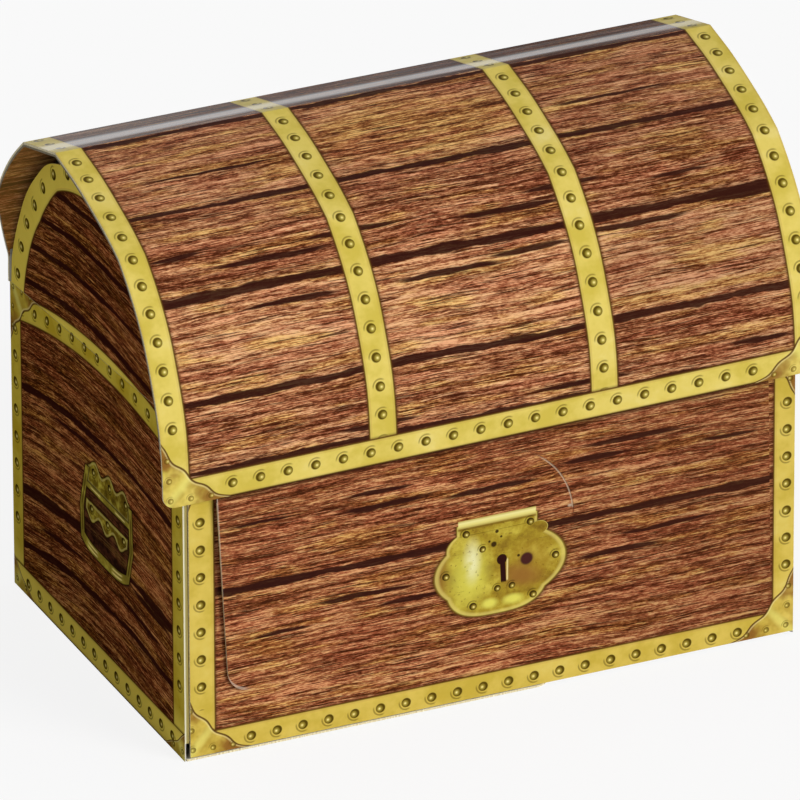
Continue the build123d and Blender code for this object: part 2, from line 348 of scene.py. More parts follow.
def rivets(finish, colour, spot, dark, pale, light, halo, radius=RIVET):
    """Printed domes; spot is measured from the nearest dome's middle."""
    reach = finish.far(spot, (0.0, 0.0), (radius, radius))
    back = finish.towards(spot, (halo[0] / radius, halo[1] / radius))
    arc = finish.ease(abs(reach - 1.5), 0.26, 0.08) * finish.ease(back, 0.3, 1.1, 0.55)
    colour = finish.mix(arc, colour, dark)
    colour = finish.lay(colour, dark, reach, 1.14, 0.94, 0.95)
    lit = finish.far(spot, (light[0] * radius * 0.36, light[1] * radius * 0.36), (radius, radius))
    glow = [(0.0, paint(252, 244, 180)), (0.14, paint(228, 212, 124)), (0.4, pale), (0.85, dark)]
    return finish.lay(colour, finish.ramp(lit, glow), reach, 1.0, 0.82)


def nailed(finish, colour, spot, band, nails, radius=RIVET):
    """Nails where the band is 1; nails are their dark and pale colours, light and halo."""
    return finish.mix(band, colour, rivets(finish, colour, spot, *nails, radius))


def row_of(finish, along, row):
    """The distance along a strap from the nearest of its evenly spaced rivets."""
    first, pitch = row
    return (finish.maths("FRACT", (along - (first - pitch / 2)) / pitch) - 0.5) * pitch


def strap(finish, colour, from_middle, half, gold, keep=1.0):
    """A flat gold strap with a fine dark outline and a soft shadow beside it."""
    off = abs(from_middle)
    colour = finish.mix(finish.ease(off, half + 0.9, half, 0.7) * keep, colour, paint(70, 36, 16))
    colour = finish.mix(finish.ease(off, half + 0.12, half - 0.1) * keep, colour, gold)
    rim = finish.ease(abs(off - (half - 0.45)), 0.35, 0.05, 0.3) * keep
    colour = finish.mix(rim, colour, paint(190, 150, 78))
    return finish.mix(finish.ease(abs(off - half), 0.3, 0.08, 0.85) * keep, colour, paint(88, 56, 18))


def gilt(finish, spot, seed, plain, pale, deep):
    """Pale brass with faint patches."""
    patch = finish.noise(spot, 0.09, 0.09, seed, 4.0, 0.6)
    colour = finish.lay(deep, plain, patch, 0.35, 0.6)
    return finish.lay(colour, pale, patch, 0.56, 0.8)


def bracket(finish, colour, beside, above, turn, width, height, seed, gold, nails):
    """A corner bracket with a scalloped inner edge, copper-brown tips and a row of nails each way."""
    wave = finish.maths("SINE", (beside - above) * 0.62 + 0.6) * 0.028
    level = (finish.most(beside, 0.0) / width) ** 0.8 + (finish.most(above, 0.0) / height) ** 0.8 + wave
    inside = finish.ease(level, 1.02, 0.99)
    far = finish.most(beside / width, above / height)
    blur = finish.noise(finish.join(beside, above), 0.3, 0.3, seed)
    tip = finish.ease(far + blur * 0.35, 0.62, 0.92, 0.85)
    tarnish = finish.lay(gold, paint(160, 126, 40), blur, 0.35, 0.65, 0.55)
    metal = finish.mix(tip, tarnish, paint(134, 84, 36))
    gleam = finish.ease(abs(beside - above * 0.9 - 0.4), 2.4, 0.2, 0.55) * finish.ease(far, 0.7, 0.3)
    metal = finish.mix(gleam, metal, paint(234, 226, 120))
    metal = finish.lay(metal, paint(240, 224, 150), level, 0.94, 0.98, 0.5)
    colour = finish.mix(inside, colour, metal)
    colour = finish.lay(colour, paint(84, 50, 16), abs(level - 1.01), 0.03, 0.01, 0.9)
    high = finish.most(beside, above)
    wide = finish.ease(beside - above, -0.01, 0.01)
    step = row_of(finish, high, BRACKET_NAILS)
    in_line = finish.least(beside, above) - 1.9 + high * 0.06
    aside = (in_line + (step - in_line) * wide) * turn
    down = -(step + (in_line - step) * wide)
    near = finish.ease(abs(in_line), 1.5, 1.3) * inside
    dark, pale, light = nails[:3]
    small = (dark, pale, light, HALO_ON_BRACKET)
    return nailed(finish, colour, finish.join(aside, down), near * 0.75, small, 0.7)


def board_surface(finish, colour, spot, seed, gloss=0.34, shine=0.03, coat=0.0):
    """Varnished board: print under a thin even gloss, with the board's faint unevenness."""
    swell = finish.noise(spot, 0.028, 0.028, seed)
    tooth = finish.noise(spot, 1.6, 1.6, seed + 2.0)
    bump = finish.node(
        "ShaderNodeBump", None, {"Strength": 0.35, "Distance": 0.001, "Height": swell * 0.9 + tooth * 0.012}
    )
    rough = finish.noise(spot, 0.06, 0.06, seed + 5.0, 3.0) * 0.16 + (gloss - 0.08)
    shader = finish.node(
        "ShaderNodeBsdfPrincipled",
        None,
        {
            "Base Color": colour,
            "Roughness": rough,
            "Specular IOR Level": shine,
            "Coat Weight": coat,
            "Coat Roughness": 0.12,
            "Coat IOR": 1.9,
            "Normal": bump.outputs["Normal"],
        },
    )
    return finish.show(shader)


def paper(finish, spot, seed, plain=INSIDE_BOARD):
    """Unprinted board with its faint fibres."""
    fibres = finish.noise(spot, 1.1, 1.1, seed, 4.0, 0.6)
    shade = fibres * 0.6 + finish.noise(spot, 0.05, 0.05, seed + 2.0) * 0.4
    red, green, blue = plain
    dull, bright = paint(red - 16, green - 16, blue - 18), paint(red + 6, green + 6, blue + 6)
    return finish.ramp(shade, [(0.3, dull), (0.7, bright)])


def cut_edge(finish, spot, seed):
    """The cream, slightly layered cut edge of the board."""
    fleck = finish.noise(spot, 2.2, 2.2, seed)
    return finish.ramp(fleck, [(0.3, paint(205, 188, 140)), (0.7, paint(246, 238, 206))])


LID_TINTS = [
    (0.02, paint(76, 34, 16)),
    (0.3, paint(138, 76, 47)),
    (0.5, paint(172, 110, 72)),
    (0.7, paint(198, 138, 94)),
    (0.98, paint(234, 182, 132)),
]
FRONT_TINTS = [
    (0.02, paint(66, 30, 12)),
    (0.3, paint(121, 61, 34)),
    (0.5, paint(149, 85, 52)),
    (0.72, paint(176, 109, 69)),
    (0.98, paint(218, 166, 112)),
]
LID_GOLD = (paint(226, 204, 104), paint(236, 218, 138), paint(208, 186, 78))
WALL_GOLD = (paint(216, 190, 88), paint(224, 204, 112), paint(198, 172, 66))
LIGHT_ON_LID = (0.8, 0.34)
HALO_ON_LID = (-0.5, -0.85)
LIGHT_ON_WALL = (-0.62, 0.3)
HALO_ON_WALL = (-0.6, 0.8)
LIGHT_ON_LOCK = (0.5, 0.6)
LIGHT_ON_ARCH = (-0.5, 0.6)
HALO_ON_BRACKET = (-0.5, -0.8)


def lid_print(name, planks, long_gaps, short_gaps, seed, has_foot=False, glossy=False):
    """The lid's planks and straps, laid out on the flat sheet.

    A panel with a foot has the strap and the brackets along the lid's front edge, and
    a glossy one mirrors the white studio and is printed darker, as painted shade.
    """
    finish = Finish(name)
    x, s = finish.laid_out()
    spot = finish.join(x, s)
    # The middle bay is golden near the crest, and painted shade makes the right bay a little darker
    golden = finish.ease(finish.far(spot, (0.0, 15.0), (34.0, 13.0)), 1.0, 0.5, 0.55)
    colour = wood(finish, x, s, seed, planks, long_gaps, short_gaps, LID_TINTS, golden)
    colour = finish.lay(colour, SHADE_BROWN, x, 26.0, 34.0, 0.12)
    shaded = finish.ease(finish.far(spot, (58.0, 62.0), (34.0, 10.5)), 1.0, 0.7, 0.14)
    colour = finish.mix(shaded, colour, SHADE_BROWN)
    # Painted shade: the glossy top panel is darker, for the little light its facet gets
    if glossy:
        colour = finish.mix(0.38, colour, paint(56, 42, 34))
    gold = gilt(finish, spot, seed + 20.0, *LID_GOLD)
    nails = (paint(88, 70, 14), paint(166, 148, 58), LIGHT_ON_LID, HALO_ON_LID)
    side = finish.sign(x)
    wide = abs(x)
    outer = finish.maths("GREATER_THAN", wide, (INNER_STRAP + LID_END_STRAP) / 2)
    off = wide - (INNER_STRAP + outer * (LID_END_STRAP - INNER_STRAP))
    foot = s + x * LID_EDGE_SLOPE - LID_FOOT
    above_foot = finish.ease(foot, -6.2, -6.5) if has_foot else 1.0
    colour = strap(finish, colour, off, LID_STRAP_HALF, gold, above_foot)
    studs = finish.join(off * side, row_of(finish, s + x * LID_NAIL_LEAN, LID_NAILS))
    # The outer rows end 10 mm higher than the inner ones, under the brackets
    in_row = finish.ease(foot + outer * 10.0, -5.0, -5.2) if has_foot else 1.0
    colour = nailed(finish, colour, studs, finish.ease(abs(off), 3.2, 3.1) * in_row, nails)
    if has_foot:
        colour = strap(finish, colour, foot + FOOT_STRAP_HALF, FOOT_STRAP_HALF, gold)
        # A dark line along the lid's lower edge: the foot strap's outline, with painted shade where the edge
        # meets the flap
        colour = finish.lay(colour, paint(72, 44, 16), foot, -0.5, -0.2, 0.85)
        studs = finish.join(row_of(finish, x, LID_FOOT_NAILS), foot + 3.2)
        in_row = finish.ease(abs(foot + 3.1), 3.0, 2.9) * finish.ease(wide, 67.2, 67.0)
        colour = nailed(finish, colour, studs, in_row, nails)
        nails = (paint(104, 76, 22), paint(176, 154, 62), LIGHT_ON_LID)
        corner = (LID_HALF - wide, -foot, -side, 16.0, 15.4, seed + 30.0)
        colour = bracket(finish, colour, *corner, gold, nails)
    coat = 0.0
    if glossy:
        # One long streak, fainter towards the right, and a few faint ones beside it
        glare = finish.noise(spot, 0.016, 0.3, seed + 50.0, 3.0, 0.6) - 0.5
        streak = finish.ease(abs(s + 12.0 + glare * 4.0), 4.4, 1.0, 0.75)
        coat = streak + finish.ease(x, 60.0, -75.0, 0.22) + finish.ease(glare, -0.15, 0.2, 0.12) + 0.08
    return board_surface(finish, colour, spot, seed + 40.0, shine=0.0 if glossy else 0.03, coat=coat)


def by_side(finish, outward, printed, spot, seed, edge=None):
    """Print on the face that looks outward, plain board inside, and the cut edge between."""
    colour = finish.lay(edge or cut_edge(finish, spot, seed + 1.0), printed, outward, 0.5, 0.6)
    return finish.lay(colour, paper(finish, spot, seed), outward, -0.5, -0.6)


def lock_plate(finish, colour, x, z):
    """The printed brass lock plate with its keyhole, rolled top and rivets."""
    spot = finish.join(x, z)
    across = abs(x - 0.75)
    # Its outline: a lobed body, a neck and a collar
    lobes = finish.far(spot, (1.6, 33.3), (16.2, 9.8))
    belly = (abs((x - 0.9) / 12.9) ** 3.0 + abs((z - 33.4) / 11.7) ** 3.0) ** 0.3333
    shape = finish.most(finish.least(lobes, belly), finish.ease(z, 43.4, 44.0, 2.0))
    bulge = finish.far(spot, (10.9, 41.2), (2.4, 1.8))
    neck = finish.least(finish.far(spot, (-0.7, 39.4), (11.0, 5.6)), bulge)
    collar = finish.most(across / 9.9, abs(z - 41.9) / 3.6)
    shape = finish.least(finish.least(shape, neck), collar)
    colour = finish.lay(colour, paint(56, 26, 12), shape, 1.1, 1.0, 0.7)
    # Mottled brass with brown hollows and a bright swell on its left
    patch = finish.noise(spot, 0.16, 0.16, 71.0, 5.0, 0.65)
    brass = [(0.34, paint(126, 96, 28)), (0.5, paint(166, 142, 42)), (0.66, paint(200, 182, 70))]
    metal = finish.ramp(patch, brass)
    hollow = finish.far(spot, (9.5, 33.0), (9.0, 8.5))
    metal = finish.lay(metal, paint(150, 104, 34), hollow, 1.0, 0.2, 0.4)
    metal = finish.lay(metal, paint(146, 108, 44), x, -9.5, -14.0)
    swell = finish.far(spot, (-6.0, 32.5), (6.8, 10.5))
    metal = finish.lay(metal, paint(216, 208, 84), swell, 1.05, 0.2, 0.8)
    sheen = finish.ease(finish.far(spot, (-5.3, 36.0), (3.0, 7.5)), 1.0, 0.0, 0.8)
    metal = finish.mix(sheen * finish.ease(patch, 0.3, 0.55), metal, paint(240, 238, 190))
    speck = finish.noise(spot, 1.1, 1.1, 76.0)
    metal = finish.lay(metal, paint(98, 68, 24), speck, 0.62, 0.72, 0.5)
    slanted = finish.far(finish.join(x + (z - 31.0) * 0.55, z), (6.3, 30.2), (6.8, 4.6))
    metal = finish.lay(metal, paint(146, 100, 44), slanted, 1.0, 0.2, 0.85)
    for middle_x, wide in ((-1.0, 2.7), (4.7, 3.4)):
        blob = finish.far(spot, (middle_x, 24.6), (wide, 1.7))
        metal = finish.lay(metal, paint(226, 220, 96), blob, 1.0, 0.3, 0.85)
    metal = finish.lay(metal, paint(222, 204, 110), shape, 0.9, 0.96, 0.6)
    colour = finish.lay(colour, metal, shape, 1.015, 0.99)
    colour = finish.lay(colour, paint(104, 76, 20), abs(shape - 1.005), 0.026, 0.008, 0.7)
    # The rolled lip along its top, and the dark line under it
    lip = finish.ease(across, 9.7, 9.4) * finish.ease(abs(z - 45.7), 1.15, 0.95)
    rolled = [
        (0.0, paint(150, 122, 40)), (0.35, paint(226, 212, 120)), (0.7, paint(236, 226, 150)),
        (1.0, paint(180, 158, 70)),
    ]
    colour = finish.mix(lip, colour, finish.ramp((z - 44.6) / 2.2, rolled))
    under = finish.ease(across, 9.9, 9.4, 0.7) * finish.ease(abs(z - 44.5), 0.4, 0.1)
    colour = finish.mix(under, colour, paint(112, 84, 24))

    def by_row(low, middle, high):
        """One number for each of the three pairs of rivets."""
        rows = ((0.0, low), (28.9, low), (29.0, middle), (38.4, middle), (38.5, high), (60.0, high))
        return finish.level_of(z, rows, 0.0, 60.0)

    # Three pairs of rivets about the plate's leaning middle line, then the small ones
    offset = x - (1.7 - (z - 34.0) * 0.07)
    aside = (abs(offset) - by_row(0.37, 0.675, 0.395) * 20.0) * finish.sign(offset)
    studs = finish.join(aside, by_row(0.411, 0.558, 0.72) * 60.0 - z)
    nails = (paint(62, 44, 10), paint(150, 128, 44), LIGHT_ON_LOCK, HALO_ON_LID)
    colour = rivets(finish, colour, studs, *nails, 0.9)
    lower = finish.maths("LESS_THAN", z, 33.0)
    pair = (abs(x - 2.7) - 1.8) * finish.sign(x - 2.7)
    single = x + 2.75
    studs = finish.join(single + (pair - single) * lower, 38.6 - lower * 10.6 - z)
    colour = rivets(finish, colour, studs, *nails, 0.8)
    # The keyhole with a glint beside it, a dent and small pits
    glint = finish.ease(abs(x - 3.35), 0.3, 0.08, 0.8) * finish.ease(abs(z - 32.3), 3.0, 2.4)
    colour = finish.mix(glint, colour, paint(240, 222, 150))
    slot = finish.most(abs(x - 2.3 + (z - 32.0) * 0.05) / 0.62, abs(z - 32.3) / 2.9)
    hole = finish.least(finish.far(spot, (2.0, 35.1), (1.2, 1.25)), slot)
    colour = finish.lay(colour, paint(44, 16, 12), hole, 1.12, 0.95)
    dent = finish.far(spot, (8.1, 34.0), (1.75, 1.75))
    colour = finish.lay(colour, paint(140, 104, 40), dent, 1.5, 0.9, 0.5)
    colour = finish.lay(colour, paint(70, 34, 30), dent, 1.05, 0.7)
    pits = finish.far(spot, (0.0, 39.3), (0.7, 0.7))
    for middle, size in (((0.75, 42.4), 0.45), ((1.8, 40.9), 0.3), ((-1.1, 40.2), 0.3), ((6.1, 35.2), 0.35)):
        pits = finish.least(pits, finish.far(spot, middle, (size, size)))
    return finish.lay(colour, paint(50, 30, 10), pits, 1.25, 0.7, 0.95)


FRONT_PLANKS = [
    (-2.0, 0.56), (14.0, 0.56), (17.0, 0.5), (30.0, 0.49), (40.3, 0.5), (41.4, 0.47), (52.0, 0.52),
    (60.0, 0.49), (90.0, 0.5),
]
FRONT_LONG = [(41.2, 0.65)]
FRONT_SHORT = [
    (-27.0, 55.0, 13.0, 0.7), (-28.0, 58.6, 10.0, 0.4), (-1.0, 53.6, 14.0, 0.65), (25.0, 55.8, 10.0, 0.75),
    (34.0, 59.2, 15.0, 0.6), (58.0, 54.6, 9.0, 0.35), (-32.0, 33.6, 14.0, 0.5), (-20.0, 30.0, 10.0, 0.55),
    (-52.0, 28.2, 9.0, 0.3), (31.0, 31.2, 13.0, 0.45), (42.0, 35.2, 14.0, 0.35), (-57.0, 57.0, 9.0, 0.25),
]


BACK_LONG = [(21.0, 0.5), (41.0, 0.6), (60.5, 0.5)]


def straps_on_wall(finish, colour, along, height, gold, nails, middle, reach, half, upright, level, highest):
    """Straps up a wall at a reach each side of its middle, and one along its foot, with their nails.

    Upright and level are the rows of nails up the wall and along its foot. No nail of an
    upright row shows above the highest level, nor below the corner brackets' tips.
    """
    off = along - middle - finish.sign(along - middle) * reach
    colour = strap(finish, colour, off, half, gold, finish.ease(height, 6.3, 6.7))
    studs = finish.join(off, -row_of(finish, height, upright))
    in_row = finish.ease(height, 12.2, 12.6) * finish.ease(height, highest, highest - 0.4)
    colour = nailed(finish, colour, studs, finish.ease(abs(off), half, half - 0.1) * in_row, nails)
    colour = strap(finish, colour, height - 3.4, 3.2, gold)
    studs = finish.join(row_of(finish, along, level), 3.45 - height)
    return nailed(finish, colour, studs, finish.ease(abs(height - 3.45), 2.8, 2.6), nails)


def flap_edges(finish, colour, rim, x, z):
    """The closing flap's painted shadow along its crease under the lid, its pale left edge and the slit round
    the lock tab.
    """
    spot = finish.join(x, z)
    rim = finish.mix(0.4, rim, paint(132, 92, 70))
    # Painted shadow: the flap and its cut edge darken just under the lid's edge
    below = LID_EDGE_HEIGHT + x * LID_EDGE_SLOPE - z
    colour = finish.lay(colour, paint(58, 26, 14), below, 1.3, 0.3, 0.75)
    rim = finish.lay(rim, paint(58, 30, 16), below, 1.3, 0.9)
    # The cut edge is painted pale down the left side and round the corner below: the board's cream edge with
    # a painted highlight
    inward = x + FLAP_HALF - (LID_EDGE_HEIGHT - z) * FLAP_TAPER
    corner = finish.join(finish.least(inward - 5.5, 0.0), finish.least(z - FLAP_FOOT - 5.5, 0.0))
    from_corner = finish.far(corner, (0.0, 0.0), (1.0, 1.0))
    pale_edge_highlight = finish.ease(from_corner, 5.16, 5.34, 0.5) * finish.ease(x, -59.0, -62.0)
    colour = finish.mix(pale_edge_highlight, colour, paint(204, 184, 164))
    # The slit stands open only at the right, where its cut edge is painted pale with a painted highlight at
    # its end, and is closed elsewhere
    from_tab = finish.far(spot, (TAB_MIDDLE[0], TAB_MIDDLE[2]), (1.0, 1.0))
    opened = finish.ease(x, 10.0, 13.0) * finish.ease(z, 44.3, 44.9) * finish.ease(z, 62.0, 58.0)
    pale = finish.ease(abs(from_tab - TAB_RADIUS - TAB_SLIT / 2), 0.26, 0.08, 0.6) * opened
    pale = finish.most(pale, finish.ease(finish.far(spot, (18.7, 45.2), (0.75, 0.5)), 1.0, 0.4, 0.7))
    colour = finish.mix(pale, colour, paint(206, 180, 154))
    closed = finish.ease(from_tab, 22.0, 21.0) * (1.0 - opened)
    return colour, finish.mix(closed, rim, colour)


def wall_print(name, outward, seed, long_gaps, short_gaps, has_lock=False):
    """A long wall's planks with its straps and brackets, or the closing flap's with the lock.

    Outward is -1 for the front and 1 for the back, whose four straps all show.
    """
    finish = Finish(name)
    x, _, z = finish.place()
    spot = finish.join(x, z)
    colour = wood(finish, x, z, seed, FRONT_PLANKS, long_gaps, short_gaps, FRONT_TINTS)
    # Painted shade: the planks darken towards the right
    colour = finish.lay(colour, SHADE_BROWN, x, -10.0, 60.0, 0.22)
    rim = cut_edge(finish, spot, 64.0)
    if has_lock:
        colour, rim = flap_edges(finish, lock_plate(finish, colour, x, z), rim, x, z)
    else:
        gold = gilt(finish, spot, 61.0, *WALL_GOLD)
        nails = (paint(84, 66, 12), paint(162, 142, 52), LIGHT_ON_WALL, HALO_ON_WALL)
        middle, reach, highest = 1.05, WALL_END_STRAP, 63.0
        if outward > 0:
            outer = finish.maths("GREATER_THAN", abs(x), (INNER_STRAP + WALL_END_STRAP) / 2)
            middle, highest = 0.0, ALL_HEIGHTS
            reach = INNER_STRAP + outer * (WALL_END_STRAP - INNER_STRAP)
        places = (middle, reach, WALL_STRAP_HALF, WALL_NAILS, WALL_FOOT_NAILS, highest)
        colour = straps_on_wall(finish, colour, x, z, gold, nails, *places)
        turn = -finish.sign(x)
        for height, shade_seed in ((z - WALL_FOOT, 62.0), (HINGE_HEIGHT - z, 66.0)):
            corner = (HALF_LENGTH - abs(x), height, turn, 15.0, 15.6, shade_seed)
            colour = bracket(finish, colour, *corner, gold, nails)
    colour = by_side(finish, finish.facing()[1] * outward, colour, spot, 63.0, rim)
    return board_surface(finish, colour, spot, 65.0)


END_PLANKS = [
    (-2.0, 0.54), (17.0, 0.54), (19.0, 0.5), (31.0, 0.49), (34.5, 0.57), (50.0, 0.55), (57.0, 0.5),
    (60.0, 0.44), (75.0, 0.5), (84.0, 0.43), (93.0, 0.45), (100.0, 0.4), (110.0, 0.43), (140.0, 0.42),
]
END_LONG = [(32.5, 1.3), (58.4, 0.6), (18.6, 0.5), (95.2, 0.3), (103.5, 0.4), (112.5, 0.5), (85.5, 0.3)]
END_SHORT = [
    (20.0, 25.0, 16.0, 0.5), (-24.0, 24.5, 13.0, 0.6), (-30.0, 30.5, 12.0, 0.9), (10.0, 55.2, 18.0, 0.4),
]
END_GOLD = (paint(208, 184, 66), paint(218, 196, 80), paint(190, 162, 44))
# The arch strap's middle line: its angle round the dome, and how far out it is in decimetres
ARCH_ROW = [
    (0.0, 0.448), (19.0, 0.44), (40.0, 0.439), (51.0, 0.451), (61.5, 0.467), (82.0, 0.466), (95.0, 0.445),
    (115.0, 0.432), (165.0, 0.422),
]
ARCH_MIDDLE = 73.5
END_TINTS = [
    (0.02, paint(48, 22, 4)),
    (0.3, paint(96, 50, 20)),
    (0.5, paint(121, 64, 31)),
    (0.72, paint(150, 86, 45)),
    (0.98, paint(200, 140, 80)),
]


def handle_plate(finish, colour, y, z):
    """The printed pull: two scalloped back plates, and a bail hanging from its hinge bar."""
    brass = finish.noise(finish.join(y, z), 0.3, 0.3, 90.0, 4.0, 0.65)
    middle = y + 4.1 + (z - 30.0) * 0.13
    wide = abs(middle)
    tarnished = [(0.3, paint(62, 46, 12)), (0.5, paint(132, 110, 30)), (0.68, paint(208, 192, 72))]
    metal = finish.ramp(brass, tarnished)
    metal = finish.lay(metal, paint(84, 60, 18), middle, 3.0, -8.0, 0.4)
    # The dark hollow behind the plates
    shadow = finish.lay(paint(34, 20, 12), paint(96, 54, 34), brass, 0.4, 0.7)
    deep = finish.ease(abs(z - 34.6), 2.6, 1.0, 0.7) * finish.ease(middle, -5.0, 1.0)
    shadow = finish.mix(deep, shadow, paint(24, 14, 12))
    within = finish.most(abs(z - 37.0) - 7.8, wide - 13.4)
    colour = finish.lay(colour, shadow, within, 0.4, -0.4, 0.8)
    # The two scalloped plates and their nails
    waves = finish.maths("COSINE", middle * 0.785) * 0.55
    plate = finish.most(abs(z - 48.3 - waves) - 3.0 - waves, wide - 11.8)
    low = finish.most(abs(z - 39.3 + waves) - 2.0 - waves, wide - 11.8)
    back = finish.least(plate, low)
    colour = finish.lay(colour, paint(44, 26, 10), back, 0.6, 0.0, 0.9)
    colour = finish.lay(colour, metal, back, 0.0, -0.3)
    colour = finish.lay(colour, paint(214, 198, 110), abs(back + 0.6), 0.5, 0.1, 0.5)
    on_low = finish.maths("LESS_THAN", z, 43.5)
    studs = finish.join(row_of(finish, middle, PULL_NAILS), 49.4 - on_low * 9.6 - z)
    nails = (paint(40, 26, 8), paint(140, 122, 44), LIGHT_ON_WALL, HALO_ON_WALL)
    colour = nailed(finish, colour, studs, finish.ease(back, -0.5, -0.8), nails, 0.95)
    # The bail: two arms, the bar along its foot and the hinge bar
    from_arm = abs(wide - (13.9 - abs(z - 38.5) * 0.17))
    arm = finish.most(from_arm - 1.05, abs(z - 40.0) - 9.6)
    bar = finish.most(abs(z - 29.4 - (wide / 13.0) ** 4.0 * 1.8) - 1.35, wide - 13.6)
    hinge = finish.most(abs(z - 44.9) - 0.8, wide - 12.4)
    bail = finish.least(finish.least(arm, bar), hinge)
    colour = finish.lay(colour, paint(38, 22, 10), bail, 0.7, 0.0, 0.85)
    colour = finish.lay(colour, finish.mix(0.4, metal, paint(176, 160, 62)), bail, 0.0, -0.3)
    groove = finish.ease(from_arm, 0.5, 0.1, 0.7) * finish.ease(abs(z - 39.5), 8.0, 7.0)
    colour = finish.mix(groove, colour, paint(66, 46, 14))
    glint = finish.ease(finish.maths("COSINE", middle * 0.46), 0.0, -0.7)
    glint = finish.ease(abs(bail + 0.85), 0.4, 0.1, 0.8) * glint
    return finish.mix(glint, colour, paint(250, 230, 140))


def end_print(name, side):
    """An end wall and its arch: planks, straps along the edges, the pull and the corner brackets.

    Side is -1 for the left end and 1 for the right.
    """
    finish = Finish(name)
    _, y, z = finish.place()
    spot = finish.join(y, z)
    from_bow = y + 8.0
    bowed = z + from_bow * from_bow * 0.0022
    colour = wood(finish, y, bowed, 80.0 + side, END_PLANKS, END_LONG, END_SHORT, END_TINTS)
    crease = HINGE_HEIGHT + (HALF_DEPTH - y) * WALL_TOP_SLOPE
    on_arch = finish.ease(z - crease, -0.1, 0.1)
    gold = gilt(finish, spot, 91.0, *END_GOLD)
    # Painted light: the gold is paler near the foot and on the arch, where the floor and the lid's overhang
    # shade it
    bright = finish.most(on_arch * 0.65, finish.ease(z, 12.0, 3.0, 0.9))
    gold = finish.mix(bright, gold, paint(246, 222, 96))
    nails = (paint(72, 54, 8), paint(150, 130, 46), LIGHT_ON_WALL, HALO_ON_WALL)
    colour = handle_plate(finish, colour, y, z)
    places = (0.4, 45.8, LID_STRAP_HALF, END_NAILS, END_FOOT_NAILS, ALL_HEIGHTS)
    walled = straps_on_wall(finish, colour, y, z, gold, nails, *places)
    colour = finish.mix(on_arch, walled, colour)
    # The strap round the arch
    rise = z - ARCH_MIDDLE
    angle = finish.maths("ARCTAN2", rise, y) * math.degrees(1.0)
    out = finish.level_of(angle, ARCH_ROW, 0.0, 180.0) * 100.0
    hoop = finish.maths("SQRT", y * y + rise * rise) - out
    hooped = strap(finish, colour, finish.least(hoop, 0.0), 3.9, gold)
    studs = finish.join(row_of(finish, angle, ARCH_NAILS_DEGREES) * ARCH_MM_PER_DEGREE, hoop)
    arch_nails = (*nails[:2], LIGHT_ON_ARCH, HALO_ON_WALL)
    hooped = nailed(finish, hooped, studs, finish.ease(abs(hoop), 3.6, 3.4), arch_nails, 1.25)
    colour = finish.mix(on_arch, colour, hooped)
    # The bowed strap along the wall's top, and the brackets over its ends
    from_top = y + 9.0
    top = z - 79.4 + from_top * from_top * 0.0027
    colour = strap(finish, colour, top, 3.0, gold)
    studs = finish.join(-row_of(finish, y, END_TOP_NAILS), -top)
    colour = nailed(finish, colour, studs, finish.ease(abs(top), 2.7, 2.5), nails)
    low_gold = finish.mix(0.25, gold, paint(150, 122, 40))
    turn = finish.sign(y)
    for corner in ((z - 0.2, turn, 12.0, 7.5, 92.0), (crease - z + 1.0, turn, 18.0, 15.0, 93.0)):
        cornered = bracket(finish, colour, HALF_DEPTH - abs(y), *corner, low_gold, nails)
        colour = finish.mix(on_arch, cornered, colour)
    colour = by_side(finish, finish.facing()[0] * side, colour, spot, 94.0)
    return board_surface(finish, colour, spot, 96.0 + side, 0.45, 0.0)


def bottom_print(name, seed, wooded):
    """A bottom flap: printed planks or plain board outside, plain inside, cream edges."""
    finish = Finish(name)
    x, y, _ = finish.place()
    spot = finish.join(x, y)
    if wooded:
        gaps = [(-12.0, 0.5), (22.0, 0.5)]
        outer = wood(finish, x, y, seed, [(-60.0, 0.5), (60.0, 0.5)], gaps, [], FRONT_TINTS)
    else:
        outer = paper(finish, spot, seed, DUST_FLAP_BOARD)
    colour = by_side(finish, -finish.facing()[2], outer, spot, seed + 1.0)
    return board_surface(finish, colour, spot, seed + 3.0, 0.5)


def glue_flap_print(name):
    """The glue flap, whose folded edge shows as fine lines beside the front wall: a painted highlight along
    the fold, and painted shade in the gap.
    """
    finish = Finish(name)
    x, _, z = finish.place()
    spot = finish.join(x, z)
    # Across the fold: a painted highlight, the fold's face, and painted shade in the gap beside the front
    # wall
    folded = [
        (0.0, paint(150, 138, 70)), (0.18, paint(244, 240, 214)), (0.36, paint(186, 178, 130)),
        (0.62, paint(150, 134, 70)), (0.8, paint(214, 196, 120)), (1.0, paint(70, 50, 24)),
    ]
    outer = finish.ramp((x + HALF_LENGTH) / 1.25 + finish.noise(spot, 0.2, 0.05, 21.5) * 0.1, folded)
    colour = by_side(finish, -finish.facing()[1], outer, spot, 22.0)
    return board_surface(finish, colour, spot, 24.0, 0.5)


def hem_print(name):
    """The margins folded under the lid: the printed face looks down into the lid."""
    finish = Finish(name)
    x, y, z = finish.place()
    _, facing_y, facing_z = finish.facing()
    rise = z - HEM_MIDDLE
    inward = (facing_y * y + facing_z * rise) / -HEM_RADIUS
    turn = finish.maths("ARCTAN2", rise, y) * HEM_RADIUS
    spot = finish.join(x, turn)
    gaps = [(20.0, 0.5), (60.0, 0.5), (95.0, 0.5)]
    outer = wood(finish, x, turn, 30.0, [(-80.0, 0.5), (140.0, 0.5)], gaps, [], FRONT_TINTS)
    # Painted light: the print is paler, as the hem lies in the lid's shade
    outer = finish.mix(0.25, outer, paint(206, 160, 76))
    fold = finish.mix(0.75, cut_edge(finish, spot, 33.0), paint(58, 36, 16))
    return board_surface(finish, by_side(finish, inward, outer, spot, 32.0, fold), spot, 34.0, 0.45)


